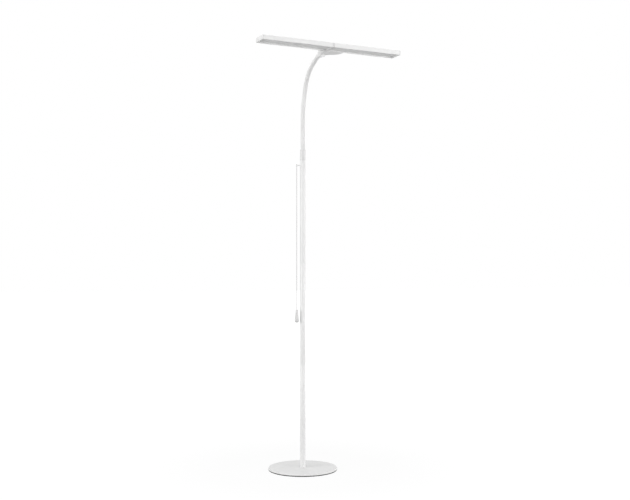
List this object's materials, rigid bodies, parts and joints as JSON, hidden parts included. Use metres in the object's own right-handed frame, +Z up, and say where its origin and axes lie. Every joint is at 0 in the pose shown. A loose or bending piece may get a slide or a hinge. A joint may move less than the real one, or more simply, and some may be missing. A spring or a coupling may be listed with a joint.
{
  "type": "adjustable arm floor lamp",
  "caption": "Floor lamp: a slim pole on a round weighted base, a bendable neck, slim light bars set end to end and a pull-cord switch.",
  "frame": {"origin": "on the floor under the pole's axis, at the middle of the base pad's underside", "axes": "+Z up along the pole, the neck leans towards -Y over the front, +X to the right along the light bars"},
  "size_m": [0.52, 0.3836, 1.4986],
  "materials": {
    "foam_pad": "matt closed-cell foam",
    "bare_steel": "cut plate",
    "white_paint": "satin white powder coat",
    "black_rubber": "matt",
    "zinc_steel": "zinc plated",
    "neck_sleeve": "satin white sleeve",
    "switch_plastic": "moulded",
    "white_cord": "braided",
    "knob_plastic": "moulded, semi-gloss",
    "nylon": "natural nylon",
    "white_aluminium": "satin white coat",
    "cap_plastic": "moulded white",
    "diffuser": "frosted sheet",
    "board": "white solder mask",
    "led_phosphor": "yellow phosphor"
  },
  "bodies": {
    "stand": {"base_pad": "foam_pad", "base_weight": "bare_steel", "base_cover": "white_paint", "lead_gland": "black_rubber", "base_stud": "zinc_steel", "base_washer": "zinc_steel", "base_nut": "zinc_steel", "foot_plug": "zinc_steel", "pole_section_1": "white_paint", "pole_section_2": "white_paint", "pole_section_3": "white_paint", "pole_joiner_1": "zinc_steel", "pole_joiner_2": "zinc_steel", "spacer_ring": "white_paint", "lower_ferrule": "white_paint", "switch_body": "switch_plastic", "pull_arm": "white_paint"},
    "pull": {"cord_crimp": "zinc_steel", "pull_cord": "white_cord", "pull_knob": "knob_plastic"},
    "plunger": {"switch_plunger": "switch_plastic"},
    "neck_1": {"neck_link_1": "neck_sleeve"},
    "neck_2": {"neck_link_2": "neck_sleeve"},
    "neck_3": {"neck_link_3": "neck_sleeve"},
    "neck_4": {"neck_link_4": "neck_sleeve"},
    "neck_5": {"neck_link_5": "neck_sleeve"},
    "neck_6": {"neck_link_6": "neck_sleeve"},
    "neck_7": {"neck_link_7": "neck_sleeve"},
    "neck_8": {"neck_link_8": "neck_sleeve"},
    "neck_9": {"neck_link_9": "neck_sleeve"},
    "neck_10": {"neck_link_10": "neck_sleeve"},
    "neck_11": {"neck_link_11": "neck_sleeve", "upper_ferrule": "white_paint", "yoke": "white_paint", "hub_washers": "nylon", "pivot_screw": "zinc_steel", "pivot_nut": "zinc_steel"},
    "right_bar": {"right_arm": "white_paint", "right_arm_screws": "zinc_steel", "right_housing": "white_aluminium", "right_inner_cap": "cap_plastic", "right_outer_cap": "cap_plastic", "right_diffuser": "diffuser", "right_led_board": "board", "right_led_chips": "led_phosphor"},
    "left_bar": {"left_arm": "white_paint", "left_arm_screws": "zinc_steel", "left_housing": "white_aluminium", "left_inner_cap": "cap_plastic", "left_outer_cap": "cap_plastic", "left_diffuser": "diffuser", "left_led_board": "board", "left_led_chips": "led_phosphor"}
  },
  "joints": [
    {"name": "neck_sway_1", "type": "hinge", "parent": "stand", "child": "neck_1", "pos_m": [0, 0, 1.166], "axis": [0, 1, 0], "range_deg": [-12, 12]},
    {"name": "neck_bend_1", "type": "hinge", "parent": "neck_1", "child": "neck_2", "pos_m": [0, 0, 1.2], "axis": [1, 0.001, 0], "range_deg": [-6, 5]},
    {"name": "neck_sway_2", "type": "hinge", "parent": "neck_2", "child": "neck_3", "pos_m": [0, 0, 1.234], "axis": [0.001, 1, 0], "range_deg": [-12, 12]},
    {"name": "neck_bend_2", "type": "hinge", "parent": "neck_3", "child": "neck_4", "pos_m": [0, 0, 1.268], "axis": [1, 0.001, 0], "range_deg": [-6, 5]},
    {"name": "neck_sway_3", "type": "hinge", "parent": "neck_4", "child": "neck_5", "pos_m": [0, -0.00237, 1.30192], "axis": [0.001, 0.992, 0.1262], "range_deg": [-12, 12]},
    {"name": "neck_bend_3", "type": "hinge", "parent": "neck_5", "child": "neck_6", "pos_m": [0, -0.00857, 1.33535], "axis": [1, 0.001, 0], "range_deg": [-6, 5]},
    {"name": "neck_bend_4", "type": "hinge", "parent": "neck_6", "child": "neck_7", "pos_m": [0, -0.01765, 1.36811], "axis": [1, 0.001, 0], "range_deg": [-6, 5]},
    {"name": "neck_bend_5", "type": "hinge", "parent": "neck_7", "child": "neck_8", "pos_m": [0, -0.02984, 1.39985], "axis": [1, 0.001, 0], "range_deg": [-7.2, 6]},
    {"name": "neck_bend_6", "type": "hinge", "parent": "neck_8", "child": "neck_9", "pos_m": [0, -0.04836, 1.42837], "axis": [1, 0.001, 0], "range_deg": [-9.6, 8]},
    {"name": "neck_bend_7", "type": "hinge", "parent": "neck_9", "child": "neck_10", "pos_m": [0, -0.07478, 1.44976], "axis": [1, 0.001, 0], "range_deg": [-7.2, 6]},
    {"name": "neck_bend_8", "type": "hinge", "parent": "neck_10", "child": "neck_11", "pos_m": [0, -0.10534, 1.46467], "axis": [1, 0.001, 0], "range_deg": [-4.8, 4]},
    {"name": "right_bar_swivel", "type": "hinge", "parent": "neck_11", "child": "right_bar", "pos_m": [0, -0.16, 1.476], "axis": [0, 0, 1], "range_deg": [0, 60]},
    {"name": "left_bar_swivel", "type": "hinge", "parent": "neck_11", "child": "left_bar", "pos_m": [0, -0.16, 1.487], "axis": [0, 0, -1], "range_deg": [0, 60]},
    {"name": "cord_pull", "type": "slide", "parent": "stand", "child": "pull", "axis": [0, 0, -1], "range_m": [0, 0.006], "stiffness_N_per_m": 300, "springref_m": -0.005},
    {"name": "plunger_slide", "type": "slide", "parent": "stand", "child": "plunger", "axis": [-1, 0, 0], "range_m": [0, 0.006]}
  ],
  "couplings": [
    {"joint": "plunger_slide", "follows": "cord_pull", "ratio": 1}
  ]
}
